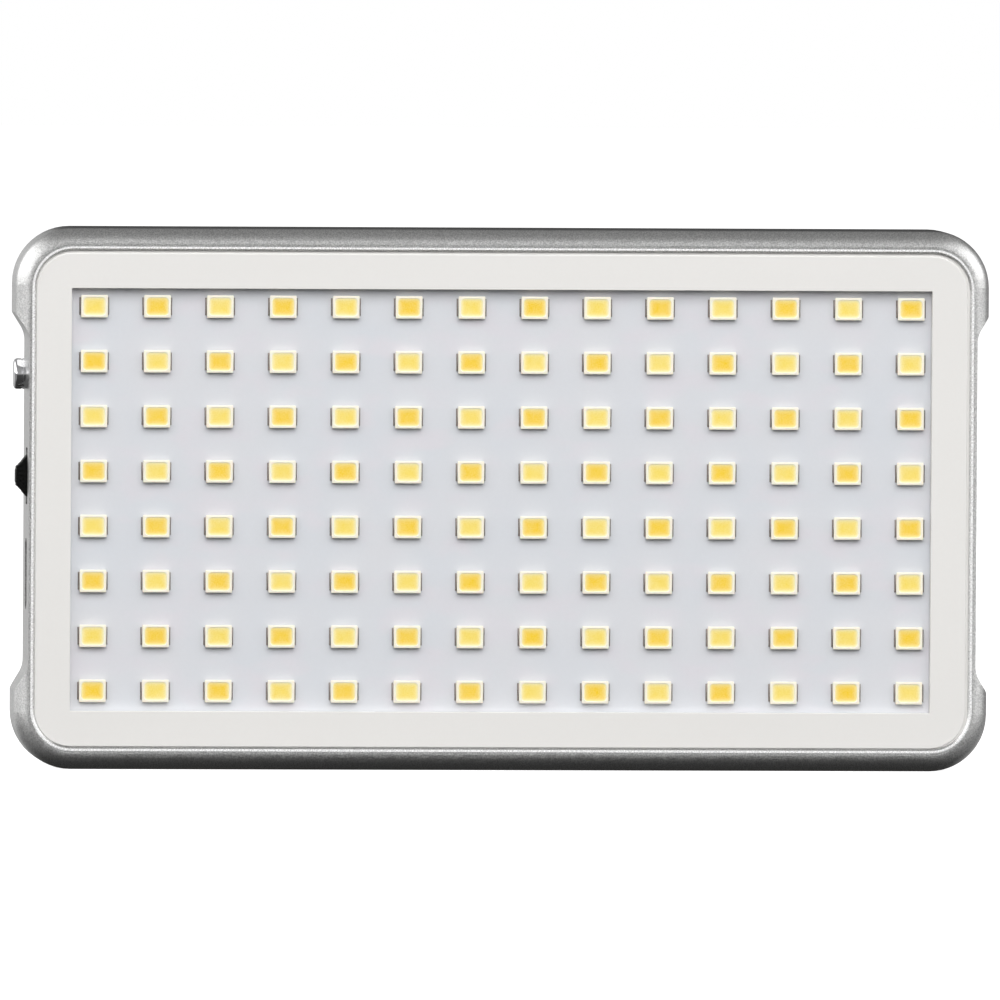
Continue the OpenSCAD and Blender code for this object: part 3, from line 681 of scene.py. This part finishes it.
def threaded_insert(material):
    """Steel sleeve with a real 1/4 inch thread: 1.27 mm pitch, cut into its bore."""
    low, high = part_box("tripod_insert")
    middle = (low + high) / 2
    outer = (high.x - low.x) / 2 - 0.005 * MM
    minor, major, pitch = THREAD
    steps, per_pitch = 48, 8
    bm = bmesh.new()

    def circle(r, z):
        return [bm.verts.new((middle.x + r * math.cos(2 * math.pi * k / steps),
                              middle.y + r * math.sin(2 * math.pi * k / steps), z))
                for k in range(steps)]

    def thread_radius(angle, z):
        """A helix with flat crests and roots, which fades out at the top."""
        phase = ((z - low.z) / pitch + angle / (2 * math.pi)) % 1
        wave = min(1.0, max(0.0, (0.5 - abs(phase - 0.5)) * 2.6 - 0.15))
        fade = min(1.0, (high.z - z) / pitch)
        return minor + (major - minor) * (1 - wave) * fade

    entry = 0.35 * MM
    rings = [circle(outer, high.z), circle(outer, low.z + 0.1 * MM),
             circle(outer - 0.1 * MM, low.z), circle(major + 0.02 * MM, low.z)]
    count = int((high.z - low.z - entry) / pitch * per_pitch)
    for k in range(count + 1):
        z = low.z + entry + (high.z - low.z - entry) * k / count
        loop = []
        for s in range(steps):
            angle = 2 * math.pi * s / steps
            r = thread_radius(angle, z)
            loop.append(bm.verts.new((middle.x + r * math.cos(angle),
                                      middle.y + r * math.sin(angle), z)))
        rings.append(loop)
    rings.append(rings[0])
    for first, second in zip(rings, rings[1:]):
        bridge(bm, first, second)
    piece = make_object("tripod_thread_sleeve", bm, material, 40)
    return finish_piece(piece, "light", "insert_steel", "tripod_insert")


def jog_pin_middle():
    low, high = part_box("jog_pin")
    return (low + high) / 2


def jog_lever(material):
    """Lever with scooped flanks, two small steps in each, and a hub that turns on the pin."""
    low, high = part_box("jog_lever")
    middle = (low + high) / 2
    tip, pin_x, base = low.x, jog_pin_middle().x, low.x + 1.42 * MM
    half, tip_half = (high.z - low.z) / 2, 1.1 * MM

    def width(share):
        """The flank's half width, from the tip (0) to the base (1), as a hollow curve."""
        return tip_half + (half - tip_half) * share ** 1.35

    upper = [(tip + 0.12 * MM, tip_half - 0.06 * MM)]
    for start, end in ((0.04, 0.30), (0.34, 0.58), (0.62, 0.86)):
        step = 0.14 * MM
        upper.append((tip + (base - tip) * start, width(start) + step))
        upper.append((tip + (base - tip) * end, width(end) + step * 0.3))
    upper.append((base, half))
    upper.append((base + 0.8 * MM, half))
    upper.append((base + 1.9 * MM, 1.0 * MM))
    outline = [(x, z) for x, z in upper] + [(x, -z) for x, z in reversed(upper)]
    outline = [(tip, 0.75 * MM)] + outline + [(tip, -0.75 * MM)]
    bm = bmesh.new()
    faces = []
    for y in (low.y, high.y):
        faces.append(bm.faces.new([bm.verts.new((x, y, middle.z + z)) for x, z in outline]))
    bridge(bm, faces[0].verts[:], faces[1].verts[:])
    hub_half, hub_r, bore_r = 0.85 * MM, 1.4 * MM, 0.55 * MM
    steps = 40
    rings = []
    for r, y in ((hub_r, -hub_half), (hub_r, hub_half), (bore_r, hub_half), (bore_r, -hub_half)):
        rings.append([bm.verts.new((pin_x + r * math.cos(2 * math.pi * k / steps), middle.y + y,
                                    middle.z + r * math.sin(2 * math.pi * k / steps)))
                      for k in range(steps)])
    for first, second in zip(rings, rings[1:] + rings[:1]):
        bridge(bm, first, second)
    piece = make_object("jog_lever_body", bm, material)
    soften_piece(piece, 0.12 * MM)
    return finish_piece(piece, "jog_arm", "lever_black", "jog_lever")


def bezel(material):
    """White frame round the window, with rolled edges and a square-cornered opening."""
    low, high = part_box("front_bezel")
    centre = ((low.x + high.x) / 2, (low.z + high.z) / 2)
    half_w, half_h = (high.x - low.x) / 2, (high.z - low.z) / 2
    face, back = low.y, high.y
    bm = bmesh.new()
    # edge: how much painted highlight a point carries, full on the outer rolled edge
    edge = bm.verts.layers.float.new("edge")
    roll, fine = 0.13 * MM, 0.05 * MM            # the outer and the inner rolled edge
    outer_r, inner_r = 4.7 * MM, 0.10 * MM
    rings = []

    def add(inset, y, r, pale):
        """A ring this far in from the bezel's outline, with its share of the painted edge
        highlight.
        """
        loop = ring(bm, rounded_loop(half_w - inset, half_h - inset, r, 8), y, centre)
        for v in loop:
            v[edge] = pale
        rings.append(loop)

    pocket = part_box("housing")
    pocket_centre = ((pocket[0].x + pocket[1].x) / 2, (pocket[0].z + pocket[1].z) / 2)
    for y in (back, face + FOOT_DEPTH):
        loop = rounded_loop(POCKET[0] / 2 - FOOT_PLAY, POCKET[1] / 2 - FOOT_PLAY,
                            POCKET[2] - FOOT_PLAY, 8)
        rings.append(ring(bm, loop, y, pocket_centre))
    add(0, face + FOOT_DEPTH, outer_r, 0)
    # the outer rolled edge carries the painted highlight
    for a in QUARTER:
        inset, y = roll * (1 - math.cos(a)), face + roll * (1 - math.sin(a))
        add(inset, y, outer_r - inset, 1.0)
    add(roll * 1.9, face, outer_r - roll * 1.9, 0)
    inner = BEZEL_BORDER
    add(inner - fine * 2.5, face, inner_r + fine * 2.5, 0)
    for a in reversed(QUARTER):
        outset, y = fine * (1 - math.cos(a)), face + fine * (1 - math.sin(a))
        add(inner - outset, y, inner_r + outset, 0)
    add(inner, back, inner_r, 0)
    for first, second in zip(rings, rings[1:] + rings[:1]):
        bridge(bm, first, second)
    piece = make_object("bezel_frame", bm, material, 40)
    return finish_piece(piece, "light", "white_plastic", "front_bezel")


def socket_pads(material):
    """The charging socket's contact pads, on both faces of its tongue."""
    low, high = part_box("usb_insert")
    middle = (low + high) / 2
    pitch, pad_w, pad_t = 0.5 * MM, 0.26 * MM, 0.03 * MM
    start, end = low.x + 0.25 * MM, low.x + 3.6 * MM
    face = 0.35 * MM
    bm = bmesh.new()
    for side in (-1, 1):
        for k in range(12):
            z = middle.z + (k - 5.5) * pitch
            y = middle.y + side * (face + pad_t / 2)
            corners = [Vector((x, y + t * pad_t / 2, z + u * pad_w / 2))
                       for x in (start, end) for t in (-1, 1) for u in (-1, 1)]
            verts = [bm.verts.new(c) for c in corners]
            for quad in ((0, 1, 3, 2), (4, 6, 7, 5), (0, 4, 5, 1), (2, 3, 7, 6), (0, 2, 6, 4),
                         (1, 5, 7, 3)):
                bm.faces.new([verts[q] for q in quad])
    piece = make_object("charging_socket_pads", bm, material)
    return finish_piece(piece, "light", "contact_metal")


# ---------- carried-over CAD nodes ----------

def paint(node, material, width=0.0):
    """Gives a CAD node its material, and breaks its edges by width."""
    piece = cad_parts[node]
    piece.data.materials.clear()
    piece.data.materials.append(material)
    if width:
        soften(piece, width)


paint("housing", blasted_aluminium("frame_metal", LIP_PLANE), 0.06 * MM)
paint("rear_cover", blasted_aluminium("cover_metal"), 0.08 * MM)
bezel(white_bezel())
paint("led_board", led_board_white())
led_bodies(led_resin())
cool_fill = phosphor("phosphor_cool", (0.955, 0.735, 0.125), (0.96, 0.90, 0.60))
phosphor_fills("phosphor_cool_fills", 0, cool_fill, "phosphor_cool", "phosphor_cool")
warm_fill = phosphor("phosphor_warm", (0.945, 0.625, 0.028), (0.96, 0.86, 0.48))
phosphor_fills("phosphor_warm_fills", 1, warm_fill, "phosphor_warm", "phosphor_warm")
led_feet(tinned_contact())
chrome_button(chrome_plate())
threaded_insert(plain_material("insert_steel", (0.42, 0.41, 0.39), (0.62, 0.60, 0.57), 2500,
                               (0.22, 0.38), 1.0, 0.00001))

black_plastic = plain_material("black_plastic", (0.012, 0.012, 0.012), (0.03, 0.03, 0.03), 3500,
                               (0.42, 0.58), bump=0.00002)
jog_lever(plain_material("lever_black", (0.0004, 0.0004, 0.0004), (0.006, 0.006, 0.006), 3200,
                         (0.30, 0.6), bump=0.00012, specular_ior_level=0.12))
dark_steel = plain_material("dark_steel", (0.05, 0.05, 0.055), (0.12, 0.12, 0.125), 2500,
                            (0.28, 0.42), 1.0, 0.00001)
cream = plain_material("cream_plastic", (0.74, 0.70, 0.58), (0.80, 0.76, 0.65), 1800, bump=0.00001)
resin = plain_material("black_resin", (0.014, 0.014, 0.014), (0.03, 0.03, 0.03), 4200, (0.5, 0.65),
                       bump=0.00002)
amber = plain_material("amber_film", (0.55, 0.26, 0.03), (0.66, 0.34, 0.05), 600, (0.2, 0.35))
foam = plain_material("black_foam", (0.012, 0.012, 0.013), (0.03, 0.03, 0.03), 2400, (0.85, 0.95),
                      bump=0.00008)
board_green = circuit_board()
for name in ("cover_screws", "board_screws", "control_screws"):
    paint(name, dark_steel, 0.05 * MM)
paint("display_window", smooth_black("black_window", (0.004, 0.004, 0.005), (0.03, 0.07), 0.6),
      0.08 * MM)
paint("display_module", smooth_black("display_glass", (0.01, 0.01, 0.012), (0.08, 0.16)))
paint("usb_shell", plain_material("socket_steel", (0.50, 0.50, 0.51), (0.68, 0.68, 0.69), 2600,
                                  (0.2, 0.32), 1.0, 0.000008, stretch=(6, 1, 1)), 0.05 * MM)
socket_pads(plain_material("gold_pads", (0.75, 0.52, 0.20), (0.85, 0.62, 0.27), 3000,
                           (0.2, 0.3), 1.0))
for name in ("usb_insert", "button_switch", "button_plunger", "jog_switch_case"):
    paint(name, black_plastic)
paint("jog_carrier", plain_material("grey_plastic", (0.16, 0.16, 0.17), (0.22, 0.22, 0.23), 2600))
paint("jog_pin", plain_material("pin_steel", (0.5, 0.5, 0.51), (0.62, 0.62, 0.63), 3000,
                                (0.15, 0.25), 1.0))
for name in ("control_board", "battery_board"):
    paint(name, board_green)
for name in ("controller_chip", "power_chips"):
    paint(name, resin)
for name in ("led_header", "led_plug", "battery_header", "battery_plug"):
    paint(name, cream)
for name in ("insulating_film", "display_flex"):
    paint(name, amber)
for name in ("battery_pad", "display_gasket"):
    paint(name, foam)
paint("bezel_tape", plain_material("black_tape", (0.012, 0.012, 0.012), (0.02, 0.02, 0.02), 900))
paint("battery_cell", plain_material("cell_foil", (0.55, 0.56, 0.58), (0.70, 0.71, 0.73), 350,
                                     (0.18, 0.34), 0.9, 0.00008))
paint("inductors", plain_material("ferrite", (0.05, 0.05, 0.055), (0.10, 0.10, 0.105), 3800,
                                  (0.5, 0.7), bump=0.00003))
paint("capacitors", plain_material("tan_ceramic", (0.28, 0.18, 0.09), (0.36, 0.24, 0.13), 3200))
paint("solder_joints", plain_material("solder", (0.55, 0.55, 0.56), (0.70, 0.70, 0.71), 2800,
                                      (0.2, 0.35), 1.0, 0.00002))
for name, low, high in (("led_leads", (0.72, 0.72, 0.69), (0.80, 0.80, 0.77)),
                        ("battery_lead_red", (0.42, 0.02, 0.015), (0.55, 0.03, 0.02)),
                        ("battery_lead_black", (0.012, 0.012, 0.012), (0.03, 0.03, 0.03))):
    paint(name, plain_material(name + "_sleeve", low, high, 2200, bump=0.00001))
